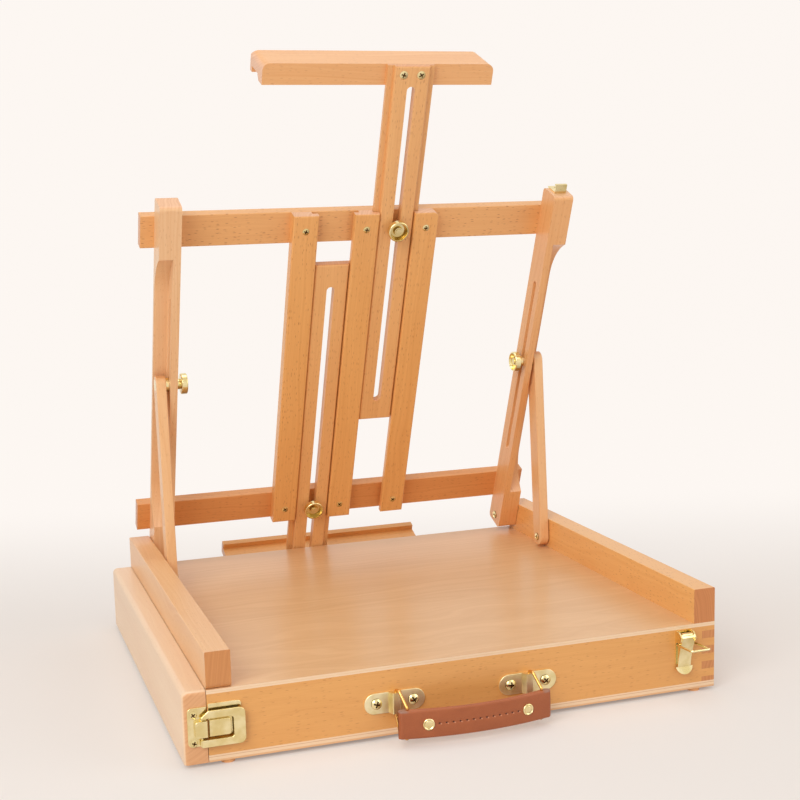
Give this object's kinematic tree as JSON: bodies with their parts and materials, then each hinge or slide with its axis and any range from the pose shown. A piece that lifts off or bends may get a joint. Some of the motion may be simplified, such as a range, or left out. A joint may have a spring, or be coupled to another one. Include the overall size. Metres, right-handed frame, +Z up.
{
  "type": "table box easel",
  "caption": "Wooden table box easel: flat box with a side drawer, hinged slotted frame on struts, sliding mast and canvas shelf, brass fittings and a leather handle.",
  "frame": {"origin": "on the table under the middle of the standing easel's outer bounds", "axes": "+Z up, +X to the right along the box front that carries the handle, +Y from that front to the edge where the frame is hinged"},
  "size_m": [0.415, 0.4372, 0.5051],
  "materials": {
    "beech": "clear satin lacquer over pinkish beech",
    "beech_plywood": "satin beech veneer with pale ply edges",
    "brass": "polished yellow brass plate",
    "leather": "smooth red brown leather",
    "rubber": "soft orange brown rubber"
  },
  "bodies": {
    "box": {"front_panel": "beech", "rear_panel": "beech", "right_panel": "beech", "top_board": "beech_plywood", "bottom_board": "beech_plywood", "left_side_rail": "beech", "right_side_rail": "beech", "rubber_feet": "rubber", "handle_plates": "brass", "handle_plate_screws": "brass", "draw_latch_base": "brass", "draw_latch_screws": "brass", "drawer_latch_keeper": "brass", "drawer_latch_keeper_screws": "brass", "frame_pivot_screws": "brass", "strut_pivot_screws": "brass"},
    "drawer": {"drawer_front": "beech", "drawer_near_side": "beech", "drawer_far_side": "beech", "drawer_back": "beech", "drawer_bottom": "beech_plywood", "drawer_dividers": "beech", "drawer_latch_base": "brass", "drawer_latch_screws": "brass"},
    "hasp": {"drawer_latch_hasp": "brass"},
    "frame": {"left_upright": "beech", "right_upright": "beech", "upper_cross_rail": "beech", "lower_cross_rail": "beech", "guide_slat_left": "beech", "guide_slat_middle": "beech", "guide_slat_right": "beech", "slat_screws": "brass", "cross_rail_screws": "brass", "latch_hook": "brass", "latch_hook_screw": "brass", "mast_clamp_bolt": "brass", "shelf_clamp_bolt": "brass"},
    "left_strut": {"left_strut": "beech", "left_strut_bolt": "brass"},
    "right_strut": {"right_strut": "beech", "right_strut_bolt": "brass"},
    "left_clamp": {"left_clamp_bolt": "brass"},
    "right_clamp": {"right_clamp_bolt": "brass"},
    "left_knob": {"left_tilt_knob": "brass"},
    "right_knob": {"right_tilt_knob": "brass"},
    "mast_knob": {"mast_knob": "brass"},
    "shelf_knob": {"shelf_knob": "brass"},
    "mast": {"mast_slider": "beech", "top_clamp_bar": "beech", "clamp_bar_screws": "brass"},
    "shelf": {"shelf_slider": "beech", "canvas_shelf": "beech", "shelf_screws": "brass"},
    "lever": {"draw_latch_lever": "brass"},
    "bail": {"draw_latch_bail": "brass"},
    "left_ring": {"left_handle_ring": "brass"},
    "right_ring": {"right_handle_ring": "brass"},
    "grip": {"leather_grip": "leather", "handle_rivets": "brass"}
  },
  "joints": [
    {"name": "frame_tilt", "type": "hinge", "parent": "box", "child": "frame", "pos_m": [0, 0.15074, 0.0703], "axis": [-1, 0, 0], "range_deg": [-67.44, 2]},
    {"name": "left_strut_swing", "type": "hinge", "parent": "box", "child": "left_strut", "pos_m": [0, 0.07124, 0.065], "axis": [-1, 0, 0], "range_deg": [-92.42, 2.75]},
    {"name": "right_strut_swing", "type": "hinge", "parent": "box", "child": "right_strut", "pos_m": [0, 0.07124, 0.065], "axis": [-1, 0, 0], "range_deg": [-92.42, 2.75]},
    {"name": "left_clamp_slide", "type": "slide", "parent": "frame", "child": "left_clamp", "axis": [0, -0.3837, 0.9235], "range_m": [-0.00212, 0.07103]},
    {"name": "right_clamp_slide", "type": "slide", "parent": "frame", "child": "right_clamp", "axis": [0, -0.3837, 0.9235], "range_m": [-0.00212, 0.07103]},
    {"name": "left_tilt_knob_turn", "type": "hinge", "parent": "left_clamp", "child": "left_knob", "pos_m": [-0.1539, 0.08187, 0.23166], "axis": [1, 0, 0], "range_deg": [0, 360]},
    {"name": "right_tilt_knob_turn", "type": "hinge", "parent": "right_clamp", "child": "right_knob", "pos_m": [0.1709, 0.08187, 0.23166], "axis": [-1, 0, 0], "range_deg": [0, 360]},
    {"name": "mast_slide", "type": "slide", "parent": "frame", "child": "mast", "axis": [0, -0.3837, 0.9235], "range_m": [-0.107, 0.165]},
    {"name": "mast_knob_turn", "type": "hinge", "parent": "frame", "child": "mast_knob", "pos_m": [0.03375, 0.03495, 0.35918], "axis": [0, -0.9235, -0.3837], "range_deg": [0, 360]},
    {"name": "shelf_slide", "type": "slide", "parent": "frame", "child": "shelf", "axis": [0, -0.3837, 0.9235], "range_m": [-0.022, 0.052]},
    {"name": "shelf_knob_turn", "type": "hinge", "parent": "frame", "child": "shelf_knob", "pos_m": [-0.01975, 0.14299, 0.09913], "axis": [0, -0.9235, -0.3837], "range_deg": [0, 360]},
    {"name": "drawer_slide", "type": "slide", "parent": "box", "child": "drawer", "axis": [-1, 0, 0], "range_m": [0, 0.29]},
    {"name": "drawer_hasp_swing", "type": "hinge", "parent": "drawer", "child": "hasp", "pos_m": [-0.1951, -0.19496, 0.028], "axis": [0, 0, -1], "range_deg": [0, 110]},
    {"name": "draw_latch_lever_swing", "type": "hinge", "parent": "box", "child": "lever", "pos_m": [0.1797, -0.19786, 0.0486], "axis": [-1, 0, 0], "range_deg": [0, 110]},
    {"name": "draw_latch_bail_swing", "type": "hinge", "parent": "lever", "child": "bail", "pos_m": [0.1797, -0.19686, 0.0416], "axis": [1, 0, 0], "range_deg": [-80, 55]},
    {"name": "handle_swing", "type": "hinge", "parent": "box", "child": "left_ring", "pos_m": [-0.0548, -0.19586, 0.023], "axis": [0, 0, 1], "range_deg": [-74, 46]},
    {"name": "handle_ring_right_swing", "type": "hinge", "parent": "box", "child": "right_ring", "pos_m": [0.0492, -0.19586, 0.023], "axis": [0, 0, 1], "range_deg": [-74, 46]},
    {"name": "handle_grip_turn", "type": "hinge", "parent": "left_ring", "child": "grip", "pos_m": [-0.05137, -0.20963, 0.017], "axis": [0, 0, 1], "range_deg": [-46, 74]}
  ],
  "couplings": [
    {"joint": "left_strut_swing", "follows": "frame_tilt", "ratio": 1.3703},
    {"joint": "right_strut_swing", "follows": "frame_tilt", "ratio": 1.3703},
    {"joint": "left_clamp_slide", "follows": "frame_tilt", "m_per_rad": -0.060339},
    {"joint": "right_clamp_slide", "follows": "frame_tilt", "m_per_rad": -0.060339},
    {"joint": "handle_ring_right_swing", "follows": "handle_swing", "ratio": 1},
    {"joint": "handle_grip_turn", "follows": "handle_swing", "ratio": -1}
  ]
}
